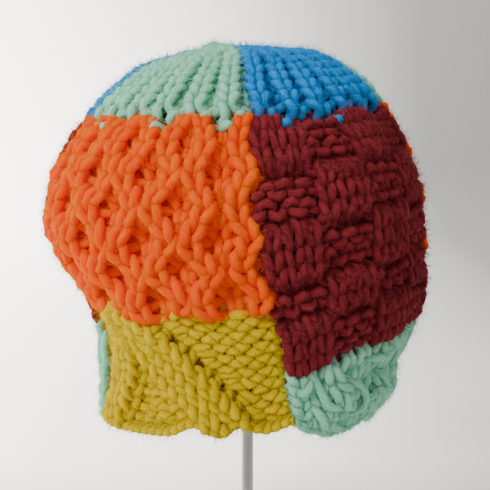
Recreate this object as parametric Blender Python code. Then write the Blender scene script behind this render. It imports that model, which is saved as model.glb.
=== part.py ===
"""A chunky patchwork beanie, knitted in wool and sewn from twelve panels, on a plain display stand.

Units are metres, +Z is up and -Y is the front. The origin is the centre of the stand's underside.
The beanie is described by a smooth wall. An angle goes round it, 0 at the front and growing towards
+X, and a way goes up it, from 0 at the rim to 1 at the top of the crown. Every panel is a stretch of
that wall, as thick as the knitting, with the relief of its own stitch pattern.
"""

import math

import bmesh
import bpy
from mathutils import Matrix, Vector

# The beanie
HAT_WIDTH = 0.173  # across the widest round
HAT_HEIGHT = 0.1733  # from the rim to the top of the crown
HAT_LEAN = math.radians(5.3)  # it sits on the stand with its right side this much higher
RIM_CENTRE_X = 0.0026  # of the rim's centre, from the post's axis
RIM_CENTRE_Z = 0.0722  # of the rim's centre, above the table
WALL = 0.008  # two strands of bulky yarn
SEAM_GAP = 0.0004  # between two panels
GATHER_RADIUS = 0.0095  # of the tuft where the crown is drawn together
GATHER_HEIGHT = 0.009
GATHER_SINK = 0.0025  # how far the tuft's middle lies under the wall's top
GATHER_PUCKER = 0.10  # how far the furrows cut in, as a share of the radius

# The stand
BASE_RADIUS = 0.065
BASE_THICKNESS = 0.006
BASE_BEVEL = 0.0012
POST_RADIUS = 0.00275
POST_SIDES = 16
BASE_SIDES = 48
REST_SIDES = 32
REST_RINGS = 4
REST_REACH = 0.0498  # of the crown's outer face over the rest's edge
REST_EDGE = 0.003  # how deep the rest's straight lower edge is
REST_CLEARANCE = 0.0008  # between the rest and the knitting that lies on it
SEAT_GAP = 0.0003  # between the stand's own pieces

# The wall in section. Heights are shares of HAT_HEIGHT, and the four reaches are shares of half of
# HAT_WIDTH. The left side is drawn in above the brim, and the right side hangs full there.
#  way   height  left   right  front  back
SECTIONS = (
    (0.00, 0.000, 0.680, 0.640, 0.640, 0.640),
    (0.05, 0.066, 0.800, 0.768, 0.765, 0.760),
    (0.12, 0.158, 0.793, 0.802, 0.790, 0.795),
    (0.19, 0.247, 0.765, 0.925, 0.840, 0.850),
    (0.26, 0.336, 0.790, 0.985, 0.900, 0.910),
    (0.33, 0.429, 0.860, 0.992, 0.950, 0.950),
    (0.40, 0.515, 0.955, 0.996, 0.985, 0.978),
    (0.47, 0.608, 0.989, 0.989, 0.989, 0.985),
    (0.55, 0.709, 0.931, 0.931, 0.931, 0.931),
    (0.638, 0.816, 0.792, 0.838, 0.828, 0.828),
    (0.72, 0.893, 0.630, 0.715, 0.688, 0.688),
    (0.80, 0.954, 0.460, 0.545, 0.526, 0.526),
    (0.88, 0.982, 0.304, 0.324, 0.324, 0.324),
    (0.94, 0.994, 0.165, 0.165, 0.165, 0.165),
    (1.00, 1.000, 0.000, 0.000, 0.000, 0.000),
)

# The four seams between the columns of panels. They wander over the body and turn round the crown.
#  way    left   front  right  back, in degrees from the front
SEAM_ANGLES = (
    (0.00, -76.0, 17.0, 88.0, 184.0),
    (0.12, -74.0, 15.0, 87.0, 184.0),
    (0.22, -76.0, 12.5, 86.5, 183.5),
    (0.29, -84.0, 9.5, 86.0, 183.0),
    (0.40, -84.0, 7.0, 86.0, 183.0),
    (0.50, -78.5, 7.5, 86.0, 182.5),
    (0.57, -74.5, 8.5, 83.0, 182.0),
    (0.65, -65.0, 10.0, 76.0, 183.0),
    (0.75, -56.0, 12.5, 78.0, 187.0),
    (0.85, -50.0, 18.0, 86.0, 192.0),
    (1.00, -38.0, 32.0, 106.0, 208.0),
)
# A honeycomb body swells over its neighbour: the side that each seam swells to, in the order above
SEAM_BULGES = {"left": -1, "front": 1, "right": -1, "back": 1}
SEAM_BULGE = 1.3  # degrees

CROWN_WAY = 0.638  # where the crown starts
CROWN_RISE = 0.036  # how much higher it starts round the left front, where the rows are stretched
CROWN_RISE_ANGLE = math.radians(-65)
CROWN_RISE_SPREAD = math.radians(110)
STRETCH_FROM, STRETCH_TO = 0.34, 0.56  # the ways between which a body's rows are stretched for it
STRETCH_END = 0.92  # the way up to which the crown's rows are drawn together again
TOP_WAY = 0.999  # just short of the top, where the wall still has a direction
WAY_STEP = 0.0227  # between two lines of faces on a body
HONEYCOMB_LINES = 16  # lines of faces from the crown down to the brim
BASKET_LINES = 22

# The knitting, in stitches and rows
HONEYCOMB_STITCHES = 16
HONEYCOMB_ROWS = 13
HONEYCOMB_REPEAT = 4
BASKET_STITCHES = 13
BASKET_BLOCK = 3  # stitches across a block
BASKET_BLOCK_ROWS = (3, 3, 3, 2, 3)  # rows up the blocks, from the crown down
CROWN_RIBS = 8
ROPE_TWISTS = 3

# How far each pattern stands out from the wall
HONEYCOMB_RELIEF = 0.0020
BASKET_RELIEF = 0.0014
BASKET_STEEPNESS = 2.5  # how sharply a block stands out from the next one
RIB_RELIEF = 0.0014
RIB_FADE = 0.6  # the share of it that is lost towards the top
BAND_RELIEF = 0.0036
ROPE_RELIEF = 0.0030
ROPE_SLANT = 0.5  # of a strand from the brim's lower edge to its upper, in twists

# The plain bands on the banded brim, in shares of its width: where each meets the upper edge, how
# far it has moved at the lower edge, and half of its width.
#  top    drift  half
BANDS = (
    (0.394, 0.341, 0.085),
    (0.420, -0.300, 0.060),
)
BAND_EDGE = 0.05  # the share over which a band slopes down to the purl ground

# The brims' lower edge: scallops with notches between them, lowest on the front right
#  angle  way
RIM = (
    (-76, 0.050),
    (-60, 0.040),
    (-34, 0.038),
    (-21, 0.060),
    (-12, 0.032),
    (-4, 0.054),
    (6, 0.034),
    (17, 0.048),
    (24, 0.022),
    (36, 0.000),
    (48, 0.000),
    (56, 0.014),
    (66, 0.000),
    (80, 0.000),
    (88, 0.012),
    (104, 0.030),
    (120, 0.052),
    (134, 0.036),
    (150, 0.052),
    (164, 0.038),
    (184, 0.056),
    (200, 0.038),
    (216, 0.054),
    (232, 0.038),
    (248, 0.054),
    (262, 0.040),
    (285, 0.050),
)

# The brims' upper edges, above the way where their bodies have all their rows
#  angle  rise
SPLIT = (
    (-76, 0.025),
    (-57, 0.014),
    (-47, -0.002),
    (-37, 0.001),
    (-29, -0.014),
    (-19, -0.005),
    (-12, 0.007),
    (-4, -0.006),
    (6, -0.004),
    (17, -0.002),
    (22, -0.007),
    (28, 0.007),
    (35, 0.009),
    (43, 0.021),
    (56, 0.029),
    (68, 0.037),
    (88, 0.042),
    (102, 0.014),
    (112, -0.002),
    (122, 0.004),
    (134, -0.008),
    (146, 0.002),
    (158, -0.006),
    (172, 0.004),
    (184, -0.002),
    (192, -0.007),
    (206, 0.012),
    (224, 0.026),
    (246, 0.034),
    (264, 0.050),
    (285, 0.100),
)

#  name   colour   roughness   metallic
MATERIALS = (
    ("mint_wool", "8cb4a0", 0.9, 0.0),
    ("blue_wool", "217dab", 0.9, 0.0),
    ("orange_wool", "dd5712", 0.9, 0.0),
    ("maroon_wool", "601618", 0.9, 0.0),
    ("yellow_wool", "c09905", 0.9, 0.0),
    ("white_painted_steel", "d8d8d4", 0.45, 0.0),
    ("satin_steel", "b4b4b0", 0.3, 1.0),
    ("grey_plastic", "9c9c98", 0.5, 0.0),
)

FACES_ACROSS = {"crown": 16, "honeycomb": 24, "basket": 16, "band": 24, "rope": 16}
FACES_UP = {"crown": 6, "band": 8, "rope": 4}


def clear_scene():
    for old in list(bpy.data.objects):
        bpy.data.objects.remove(old, do_unlink=True)


def linear(channel):
    value = channel / 255
    return value / 12.92 if value <= 0.04045 else ((value + 0.055) / 1.055) ** 2.4


def make_material(name, hex_colour, roughness, metallic):
    material = bpy.data.materials.new(name)
    material.use_nodes = True
    shader = material.node_tree.nodes["Principled BSDF"]
    red, green, blue = bytes.fromhex(hex_colour)
    shader.inputs["Base Color"].default_value = (linear(red), linear(green), linear(blue), 1)
    shader.inputs["Roughness"].default_value = roughness
    shader.inputs["Metallic"].default_value = metallic
    return material


def smoothstep(x):
    x = min(max(x, 0.0), 1.0)
    return x * x * (3 - 2 * x)


def smooth_row(table, place):
    """The other columns of a table at a place in its first column, on a smooth curve."""
    last = len(table) - 1
    i = next((k for k in range(last) if place <= table[k + 1][0]), last - 1)
    before, start, end, after = (
        table[max(i - 1, 0)],
        table[i],
        table[i + 1],
        table[min(i + 2, last)],
    )
    span = end[0] - start[0]
    t = (place - start[0]) / span
    found = []
    for k in range(1, len(start)):
        slope_in = (end[k] - before[k]) / (end[0] - before[0]) * span
        slope_out = (after[k] - start[k]) / (after[0] - start[0]) * span
        found.append(
            (2 * t**3 - 3 * t**2 + 1) * start[k]
            + (t**3 - 2 * t**2 + t) * slope_in
            + (3 * t**2 - 2 * t**3) * end[k]
            + (t**3 - t**2) * slope_out
        )
    return found


def section(way):
    """The height and the four reaches at a way, in metres."""
    height, *reaches = smooth_row(SECTIONS, way)
    return [height * HAT_HEIGHT] + [reach * HAT_WIDTH / 2 for reach in reaches]


def wall_point(angle, way):
    """A point of the wall's outer face, measured from the rim's centre before the beanie leans."""
    height, left, right, front, back = section(way)
    side, ahead = math.sin(angle), math.cos(angle)
    reach = (right if side > 0 else left) * side**2 + (front if ahead > 0 else back) * ahead**2
    return Vector((reach * side, -reach * ahead, height))


def wall_out(angle, way):
    """The outward direction there."""
    step = 0.002
    low, high = max(way - step, 0.0), min(way + step, 1 - step)
    round_wall = wall_point(angle + step, high) - wall_point(angle - step, high)
    up_wall = wall_point(angle, high) - wall_point(angle, low)
    return round_wall.cross(up_wall).normalized()


def reach_at(angle, way):
    point = wall_point(angle, way)
    return math.hypot(point.x, point.y)


def way_at_reach(reach):
    """The way at which the crown has come in to this reach."""
    low, high = CROWN_WAY, 1.0
    for _ in range(40):
        middle = (low + high) / 2
        if reach_at(0, middle) > reach:
            low = middle
        else:
            high = middle
    return low


def stretched(angle, way):
    """The way at which the knitting that belongs at this way really lies."""
    away = abs((angle - CROWN_RISE_ANGLE + math.pi) % (2 * math.pi) - math.pi)
    rise = CROWN_RISE * smoothstep(1 - away / CROWN_RISE_SPREAD)
    if way > CROWN_WAY:
        return way + rise * smoothstep((STRETCH_END - way) / (STRETCH_END - CROWN_WAY))
    return way + rise * smoothstep((way - STRETCH_FROM) / (STRETCH_TO - STRETCH_FROM))


LEAN = Matrix.Translation((RIM_CENTRE_X, 0, RIM_CENTRE_Z)) @ Matrix.Rotation(-HAT_LEAN, 4, "Y")


def brim_way(pattern):
    """Where the body of this pattern ends and its brim starts."""
    lines = HONEYCOMB_LINES if pattern == "honeycomb" else BASKET_LINES
    return CROWN_WAY - lines * WAY_STEP


def seam_angle(seam, way):
    """The angle of a seam at a way."""
    angle = smooth_row(SEAM_ANGLES, way)[list(SEAM_BULGES).index(seam)]
    repeat = HONEYCOMB_REPEAT * (CROWN_WAY - brim_way("honeycomb")) / HONEYCOMB_ROWS
    swell = max(0.0, math.cos(2 * math.pi * (CROWN_WAY - way) / repeat))
    below_crown = smoothstep((CROWN_WAY - way) / repeat)
    above_brim = smoothstep(2 * (way - brim_way("honeycomb")) / repeat)
    swell *= SEAM_BULGE * SEAM_BULGES[seam] * below_crown * above_brim
    return math.radians(angle + swell)


def crown_relief(across, up):
    """Knitted ribs that run to the top and flatten as they draw together."""
    return RIB_RELIEF * math.cos(2 * math.pi * CROWN_RIBS * across) * (1 - RIB_FADE * up)


def honeycomb_relief(across, up, from_start):
    """Twisted strands in a staggered honeycomb, counted in stitches from the honeycomb's first seam."""
    stitch = HONEYCOMB_STITCHES * (across if from_start else 1 - across)
    row = (1 - up) * HONEYCOMB_ROWS
    turn = 2 * math.pi / HONEYCOMB_REPEAT
    return HONEYCOMB_RELIEF * math.cos(turn * stitch) * math.cos(turn * row)


def basket_relief(across, up):
    """Blocks of plain stitches that stand out and blocks of purl stitches that lie back, in turn."""
    check = math.sin(math.pi * across * BASKET_STITCHES / BASKET_BLOCK)
    row = (1 - up) * sum(BASKET_BLOCK_ROWS)
    for rows in BASKET_BLOCK_ROWS:
        if row <= rows:
            break
        row -= rows
        check = -check
    check *= math.sin(math.pi * min(row / rows, 1))
    return BASKET_RELIEF * min(max(BASKET_STEEPNESS * check, -1), 1)


def band_relief(across, up):
    """Two plain bands over a purl ground: they meet at the top left and part downwards."""
    raised = 0
    for top, drift, half in BANDS:
        away = abs(across - top - drift * (1 - up)) - half
        raised = max(raised, 1 - smoothstep(away / BAND_EDGE))
    return BAND_RELIEF * (raised - 0.5)


def rope_relief(across, up):
    """A fat two-strand cable lying along the brim."""
    twist = abs(math.sin(math.pi * (ROPE_TWISTS * across - ROPE_SLANT * up)))
    return ROPE_RELIEF * (twist - 0.5)


def between_rows(table, place):
    """The second column of a table at a place in its first, on a smooth step from row to row."""
    for (before, low), (after, high) in zip(table, table[1:]):
        if place <= after:
            break
    return low + (high - low) * smoothstep((place - before) / (after - before))


def rim_angle(across, seams):
    """The angle at a place across a column of panels, where its lower edge runs."""
    first, second = (math.degrees(seam_angle(seam, 0)) for seam in seams)
    return first + (second - first + 360) % 360 * across


def rim_way(across, seams):
    """Where the lower edge runs."""
    return between_rows(RIM, rim_angle(across, seams))


def split_way(across, seams, pattern):
    """Where a column's body meets its brim."""
    return brim_way(pattern) + between_rows(SPLIT, rim_angle(across, seams))


def make_panel(name, seams, ways, faces, relief, material):
    """A stretch of wall between two seams and two ways, as one closed solid.

    ways gives the lower and the upper end as functions of the place across the panel.
    """
    lower, upper = ways
    mesh = bmesh.new()
    bmesh.ops.create_grid(mesh, x_segments=faces[0], y_segments=faces[1], size=0.5)
    made = bmesh.ops.extrude_face_region(mesh, geom=mesh.faces[:])
    for item in made["geom"]:
        if isinstance(item, bmesh.types.BMVert):
            item.co.z = 1
    for vertex in mesh.verts:
        across, up, outside = vertex.co.x + 0.5, vertex.co.y + 0.5, vertex.co.z > 0.5
        trim = SEAM_GAP / 2 / HAT_HEIGHT
        start, end = lower(across) + trim, upper(across) - trim
        way = start + (end - start) * up
        first, second = (seam_angle(seam, way) for seam in seams)
        if second < first:
            second += 2 * math.pi
        angle = first + (second - first) * across
        way = stretched(angle, way)
        trim = SEAM_GAP / 2 / reach_at(angle, way)
        angle += trim * (1 - 2 * across)
        depth = relief(across, up) if outside else -WALL
        vertex.co = LEAN @ (wall_point(angle, way) + wall_out(angle, way) * depth)
    bmesh.ops.recalc_face_normals(mesh, faces=mesh.faces[:])
    return finish(name, mesh, material)


def finish(name, mesh, material):
    """Turns a bmesh into a smooth-shaded object with its material."""
    data = bpy.data.meshes.new(name)
    mesh.to_mesh(data)
    mesh.free()
    data.shade_smooth()
    data.set_sharp_from_angle(angle=math.radians(50))
    data.materials.append(material)
    piece = bpy.data.objects.new(name, data)
    bpy.context.scene.collection.objects.link(piece)
    return piece


def make_gather(name, material):
    """The puckered tuft that closes the crown, where the last stitches are drawn together."""
    mesh = bmesh.new()
    bmesh.ops.create_uvsphere(mesh, u_segments=16, v_segments=8, radius=1)
    top = wall_point(0, 1.0).z
    for vertex in mesh.verts:
        turn = math.atan2(vertex.co.y, vertex.co.x)
        pucker = 1 - GATHER_PUCKER * (1 + math.cos(CROWN_RIBS * turn)) / 2
        across = (GATHER_RADIUS - SEAM_GAP) * pucker
        up = top - GATHER_SINK + vertex.co.z * GATHER_HEIGHT / 2
        vertex.co = LEAN @ Vector((vertex.co.x * across, vertex.co.y * across, up))
    bmesh.ops.recalc_face_normals(mesh, faces=mesh.faces[:])
    return finish(name, mesh, material)


def lining_point(angle, way, clearance):
    """A point that lies this far inside the wall's inner face."""
    return LEAN @ (wall_point(angle, way) - wall_out(angle, way) * (WALL + clearance))


def make_rest(name, material):
    """The shallow dome that the crown lies on. Returns it with the height of its flat underside."""
    mesh = bmesh.new()
    edge_way = way_at_reach(REST_REACH)
    turns = [2 * math.pi * side / REST_SIDES for side in range(REST_SIDES)]
    top = mesh.verts.new(lining_point(0, TOP_WAY, REST_CLEARANCE))
    loops = []
    for ring in range(1, REST_RINGS + 1):
        way = 1 - (1 - edge_way) * ring / REST_RINGS
        loops.append([mesh.verts.new(lining_point(turn, way, REST_CLEARANCE)) for turn in turns])
    for side in range(REST_SIDES):
        mesh.faces.new((top, loops[0][side], loops[0][side - 1]))
    for inner, outer in zip(loops, loops[1:]):
        for side in range(REST_SIDES):
            mesh.faces.new((inner[side], outer[side], outer[side - 1], inner[side - 1]))
    under = min(vertex.co.z for vertex in loops[-1]) - REST_EDGE
    edges = [mesh.edges.get((loops[-1][side], loops[-1][side - 1])) for side in range(REST_SIDES)]
    made = bmesh.ops.extrude_edge_only(mesh, edges=edges)
    lowest = [item for item in made["geom"] if isinstance(item, bmesh.types.BMVert)]
    for vertex in lowest:
        vertex.co.z = under
    bmesh.ops.contextual_create(mesh, geom=lowest)
    bmesh.ops.recalc_face_normals(mesh, faces=mesh.faces[:])
    return finish(name, mesh, material), under


def make_rod(name, radius, low, high, sides, bevel, material):
    """A round plate or rod on the post's axis, with its upper edge rounded if bevel is given."""
    mesh = bmesh.new()
    bmesh.ops.create_cone(
        mesh,
        cap_ends=True,
        segments=sides,
        radius1=radius,
        radius2=radius,
        depth=high - low,
        matrix=Matrix.Translation((0, 0, (low + high) / 2)),
    )
    if bevel:
        rim = [edge for edge in mesh.edges if all(v.co.z > (low + high) / 2 for v in edge.verts)]
        bmesh.ops.bevel(
            mesh, geom=rim, offset=bevel, segments=2, profile=0.5, affect="EDGES", material=-1
        )
    return finish(name, mesh, material)


def make_column(side, seams, pattern, colours):
    """The crown, body and brim panels between two seams."""
    crown_colour, body_colour, brim_colour = colours
    brim_pattern = "band" if pattern == "honeycomb" else "rope"
    body_lines = HONEYCOMB_LINES if pattern == "honeycomb" else BASKET_LINES
    crown_end = way_at_reach(GATHER_RADIUS)

    def body_relief(across, up):
        if pattern == "honeycomb":
            return honeycomb_relief(across, up, from_start=SEAM_BULGES[seams[0]] > 0)
        return basket_relief(across, up)

    make_panel(
        f"{side}_crown",
        seams,
        (lambda across: CROWN_WAY, lambda across: crown_end),
        (FACES_ACROSS["crown"], FACES_UP["crown"]),
        crown_relief,
        crown_colour,
    )
    make_panel(
        f"{side}_body",
        seams,
        (lambda across: split_way(across, seams, pattern), lambda across: CROWN_WAY),
        (FACES_ACROSS[pattern], body_lines),
        body_relief,
        body_colour,
    )
    make_panel(
        f"{side}_brim",
        seams,
        (
            lambda across: rim_way(across, seams),
            lambda across: split_way(across, seams, pattern),
        ),
        (FACES_ACROSS[brim_pattern], FACES_UP[brim_pattern]),
        band_relief if brim_pattern == "band" else rope_relief,
        brim_colour,
    )


def main():
    clear_scene()
    mint, blue, orange, maroon, yellow, white, steel, grey = (
        make_material(*values) for values in MATERIALS
    )

    make_column("front", ("left", "front"), "honeycomb", (mint, orange, yellow))
    make_column("right", ("front", "right"), "basket", (blue, maroon, mint))
    make_column("back", ("right", "back"), "honeycomb", (mint, orange, yellow))
    make_column("left", ("back", "left"), "basket", (blue, maroon, mint))
    make_gather("crown_gather", mint)

    _, under_rest = make_rest("stand_rest", grey)
    make_rod(
        "stand_post",
        POST_RADIUS,
        BASE_THICKNESS + SEAT_GAP,
        under_rest - SEAT_GAP,
        POST_SIDES,
        0,
        steel,
    )
    make_rod("stand_base", BASE_RADIUS, 0, BASE_THICKNESS, BASE_SIDES, BASE_BEVEL, white)


main()
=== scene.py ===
# %% [markdown]
# # A patchwork beanie, knitted loop by loop
#
# The beanie is sewn from twelve knitted panels and sits on a plain stand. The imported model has
# each panel as a closed wall. This lesson knits it again: every stitch is a loop of a path, wound
# with a round strand of wool.

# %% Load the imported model
import random
from functools import lru_cache, partial
from math import copysign, cos, degrees, exp, hypot, pi, radians, sin, tau

import bmesh
import bpy
from mathutils import Matrix, Vector, noise


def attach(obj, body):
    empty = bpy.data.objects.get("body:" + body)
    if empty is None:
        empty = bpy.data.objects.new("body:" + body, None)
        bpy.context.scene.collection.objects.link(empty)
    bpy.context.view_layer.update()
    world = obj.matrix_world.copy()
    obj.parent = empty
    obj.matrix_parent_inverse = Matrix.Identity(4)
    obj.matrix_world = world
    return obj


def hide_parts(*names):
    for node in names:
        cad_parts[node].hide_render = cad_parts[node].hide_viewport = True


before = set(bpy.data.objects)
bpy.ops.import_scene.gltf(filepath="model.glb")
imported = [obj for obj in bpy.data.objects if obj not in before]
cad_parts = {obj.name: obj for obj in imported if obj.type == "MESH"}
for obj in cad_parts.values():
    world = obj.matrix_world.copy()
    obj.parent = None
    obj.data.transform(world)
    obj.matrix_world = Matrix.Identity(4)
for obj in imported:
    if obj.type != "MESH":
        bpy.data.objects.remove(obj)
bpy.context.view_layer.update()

noise.seed_set(11)  # without a seed, Blender's vector noise starts elsewhere on each run
print("nodes:", sorted(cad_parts))

# %% [markdown]
# ## The wall that the knitting follows
#
# A worn beanie is a soft tube that closes at its crown. Its wall could be looked up on the packed
# mesh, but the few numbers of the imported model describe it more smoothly: a surface of revolution
# pulled out of round. An angle goes round it and a way goes up it, from 0 at the rim to 1 at the
# top.

# %% The beanie's sizes, in metres
HAT_WIDTH = 0.173
HAT_HEIGHT = 0.1733
HAT_LEAN = radians(5.3)
RIM_CENTRE = (0.0026, 0, 0.0722)
#  way   height  left   right  front  back, in shares of the height and of half the width
SECTIONS = (
    (0.00, 0.000, 0.680, 0.640, 0.640, 0.640),
    (0.05, 0.066, 0.800, 0.768, 0.765, 0.760),
    (0.12, 0.158, 0.793, 0.802, 0.790, 0.795),
    (0.19, 0.247, 0.765, 0.925, 0.840, 0.850),
    (0.26, 0.336, 0.790, 0.985, 0.900, 0.910),
    (0.33, 0.429, 0.860, 0.992, 0.950, 0.950),
    (0.40, 0.515, 0.955, 0.996, 0.985, 0.978),
    (0.47, 0.608, 0.989, 0.989, 0.989, 0.985),
    (0.55, 0.709, 0.931, 0.931, 0.931, 0.931),
    (0.638, 0.816, 0.792, 0.838, 0.828, 0.828),
    (0.72, 0.893, 0.630, 0.715, 0.688, 0.688),
    (0.80, 0.954, 0.460, 0.545, 0.526, 0.526),
    (0.88, 0.982, 0.304, 0.324, 0.324, 0.324),
    (0.94, 0.994, 0.165, 0.165, 0.165, 0.165),
    (1.00, 1.000, 0.000, 0.000, 0.000, 0.000),
)
LEAN = Matrix.Translation(RIM_CENTRE) @ Matrix.Rotation(-HAT_LEAN, 4, "Y")
print("sections of the wall:", len(SECTIONS))


# %% A smooth curve through a table
def smoothstep(x):
    """From 0 to 1 with x, gentle at both ends."""
    x = min(max(x, 0.0), 1.0)
    return x * x * (3 - 2 * x)


def between(t, start, slope_in, end, slope_out):
    """A smooth curve from a start to an end, as t goes from 0 to 1, with these slopes there."""
    near = 2 * t**3 - 3 * t**2 + 1
    ends = near * start + (1 - near) * end
    return ends + (t**3 - 2 * t**2 + t) * slope_in + (t**3 - t**2) * slope_out


def smooth_row(table, place):
    """The other columns of a table at a place in its first one."""
    last = len(table) - 1
    i = next((k for k in range(last) if place <= table[k + 1][0]), last - 1)
    before, start, end, after = (table[min(max(k, 0), last)] for k in range(i - 1, i + 3))
    span = end[0] - start[0]
    t = (place - start[0]) / span
    found = []
    for k in range(1, len(start)):
        slope_in = (end[k] - before[k]) / (end[0] - before[0]) * span
        slope_out = (after[k] - start[k]) / (after[0] - start[0]) * span
        found.append(between(t, start[k], slope_in, end[k], slope_out))
    return found


print("half way up:", [round(share, 3) for share in smooth_row(SECTIONS, 0.5)])


# %% A point of the wall
@lru_cache(maxsize=100_000)
def section(way):
    """The height and the four reaches at a way, in metres."""
    height, *reaches = smooth_row(SECTIONS, way)
    return [height * HAT_HEIGHT] + [reach * HAT_WIDTH / 2 for reach in reaches]


def wall_point(angle, way):
    """A point of the outer face. The angle grows from the front to the right."""
    height, left, right, front, back = section(way)
    side, ahead = sin(angle), cos(angle)
    reach = (right if side > 0 else left) * side**2 + (front if ahead > 0 else back) * ahead**2
    return Vector((reach * side, -reach * ahead, height))


def wall_out(angle, way):
    """The direction straight out of the wall."""
    step = 0.002
    low, high = max(way - step, 0.0), min(way + step, 1 - step)
    round_wall = wall_point(angle + step, high) - wall_point(angle - step, high)
    up_wall = wall_point(angle, high) - wall_point(angle, low)
    return round_wall.cross(up_wall).normalized()


print("the front, half way up:", [round(x, 4) for x in wall_point(0, 0.5)])

# %% Where the crown is drawn together
CROWN_WAY = 0.638  # where the crown panels start
GATHER_RADIUS = 0.0095


def way_at_reach(reach):
    """The way where the crown has closed to this reach, found by halving."""
    low, high = CROWN_WAY, 1.0
    for _ in range(40):
        middle = (low + high) / 2
        if hypot(*wall_point(0, middle).xy) > reach:
            low = middle
        else:
            high = middle
    return low


CROWN_END = way_at_reach(GATHER_RADIUS)
print("the crown is drawn together at way", round(CROWN_END, 3))

# %% How the knitting is stretched over the left front
CROWN_RISE = 0.036  # how much higher the crown starts there
CROWN_RISE_ANGLE, CROWN_RISE_SPREAD = radians(-65), radians(110)
STRETCH_FROM, STRETCH_TO, STRETCH_END = 0.34, 0.56, 0.92  # ways where it starts, is full and ends


def stretched(angle, way):
    """The way at which the knitting that belongs at this way really lies."""
    away = abs((angle - CROWN_RISE_ANGLE + pi) % tau - pi)
    rise = CROWN_RISE * smoothstep(1 - away / CROWN_RISE_SPREAD)
    if way > CROWN_WAY:
        return way + rise * smoothstep((STRETCH_END - way) / (STRETCH_END - CROWN_WAY))
    return way + rise * smoothstep((way - STRETCH_FROM) / (STRETCH_TO - STRETCH_FROM))


print("there the crown starts at way", round(stretched(CROWN_RISE_ANGLE, CROWN_WAY), 3))

# %% [markdown]
# ## Seams and edges
#
# Four sewn seams climb from the rim to the crown, the honeycomb swells over its neighbours there,
# and the rim hangs in scallops. Curves on the mesh could mark them, but tables of angles and ways
# stay in the wall, and both panels at a seam read the same one.

# %% The seams
#  way    left   front  right  back, in degrees from the front
SEAM_ANGLES = (
    (0.00, -76.0, 17.0, 88.0, 184.0),
    (0.12, -74.0, 15.0, 87.0, 184.0),
    (0.22, -76.0, 12.5, 86.5, 183.5),
    (0.29, -84.0, 9.5, 86.0, 183.0),
    (0.40, -84.0, 7.0, 86.0, 183.0),
    (0.50, -78.5, 7.5, 86.0, 182.5),
    (0.57, -74.5, 8.5, 83.0, 182.0),
    (0.65, -65.0, 10.0, 76.0, 183.0),
    (0.75, -56.0, 12.5, 78.0, 187.0),
    (0.85, -50.0, 18.0, 86.0, 192.0),
    (1.00, -38.0, 32.0, 106.0, 208.0),
)
SEAM_BULGES = {"left": -1, "front": 1, "right": -1, "back": 1}  # the sides they swell to
SEAM_BULGE = 1.3  # degrees
WAY_STEP = 0.0227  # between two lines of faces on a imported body
BRIM_WAY = {"honeycomb": CROWN_WAY - 16 * WAY_STEP, "basket": CROWN_WAY - 22 * WAY_STEP}
HONEYCOMB_ROWS = 13
CELL_ROWS = 4


def seam_angle(seam, way):
    """Where a seam runs, with one swelling for each cell of the honeycomb."""
    angle = smooth_row(SEAM_ANGLES, way)[list(SEAM_BULGES).index(seam)]
    repeat = CELL_ROWS * (CROWN_WAY - BRIM_WAY["honeycomb"]) / HONEYCOMB_ROWS
    swell = max(0.0, cos(tau * (CROWN_WAY - way) / repeat))
    below_crown = smoothstep((CROWN_WAY - way) / repeat)
    above_brim = smoothstep(2 * (way - BRIM_WAY["honeycomb"]) / repeat)
    swell *= SEAM_BULGE * SEAM_BULGES[seam] * below_crown * above_brim
    return radians(angle + swell)


print("the front seam starts at", round(degrees(seam_angle("front", 0))), "degrees")

# %% The rim
#  angle  way of the lower edge
RIM = (
    (-76, 0.050), (-60, 0.040), (-34, 0.038), (-21, 0.060), (-12, 0.032),
    (-4, 0.054), (6, 0.034), (17, 0.048), (24, 0.022), (36, 0.000),
    (48, 0.000), (56, 0.014), (66, 0.000), (80, 0.000), (88, 0.012),
    (104, 0.030), (120, 0.052), (134, 0.036), (150, 0.052), (164, 0.038),
    (184, 0.056), (200, 0.038), (216, 0.054), (232, 0.038), (248, 0.054),
    (262, 0.040), (285, 0.050),
)


def between_rows(table, place):
    """The second column of a table at a place in its first, in smooth steps."""
    for (before, low), (after, high) in zip(table, table[1:]):
        if place <= after:
            break
    return low + (high - low) * smoothstep((place - before) / (after - before))


def rim_angle(across, seams):
    """The angle, in degrees, at a place across a column of panels."""
    first, second = (degrees(seam_angle(seam, 0)) for seam in seams)
    return first + (second - first + 360) % 360 * across


def rim_way(across, seams):
    """Where the lower edge runs."""
    return between_rows(RIM, rim_angle(across, seams))


print("in front, the rim hangs at way", round(between_rows(RIM, 0), 3))

# %% The line between bodies and brims
#  angle  rise above the brim's own way
SPLIT = (
    (-76, 0.025), (-57, 0.014), (-47, -0.002), (-37, 0.001), (-29, -0.014),
    (-19, -0.005), (-12, 0.007), (-4, -0.006), (6, -0.004), (17, -0.002),
    (22, -0.007), (28, 0.007), (35, 0.009), (43, 0.021), (56, 0.029),
    (68, 0.037), (88, 0.042), (102, 0.014), (112, -0.002), (122, 0.004),
    (134, -0.008), (146, 0.002), (158, -0.006), (172, 0.004), (184, -0.002),
    (192, -0.007), (206, 0.012), (224, 0.026), (246, 0.034), (264, 0.050),
    (285, 0.100),
)


def split_way(across, seams, pattern):
    """Where a column's body meets its brim."""
    return BRIM_WAY[pattern] + between_rows(SPLIT, rim_angle(across, seams))


print("the bodies start at ways", [round(way, 3) for way in BRIM_WAY.values()])

# %% A place in a panel
LOWEST_WAY, HIGHEST_WAY = -0.02, 0.998
SQUEEZED, SQUEEZED_END, SQUEEZE = 0.06, 0.064, 0.25  # a brim's first stitches crowd
BRIM_REACH = 1.06  # its last ones reach up under the body


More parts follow.
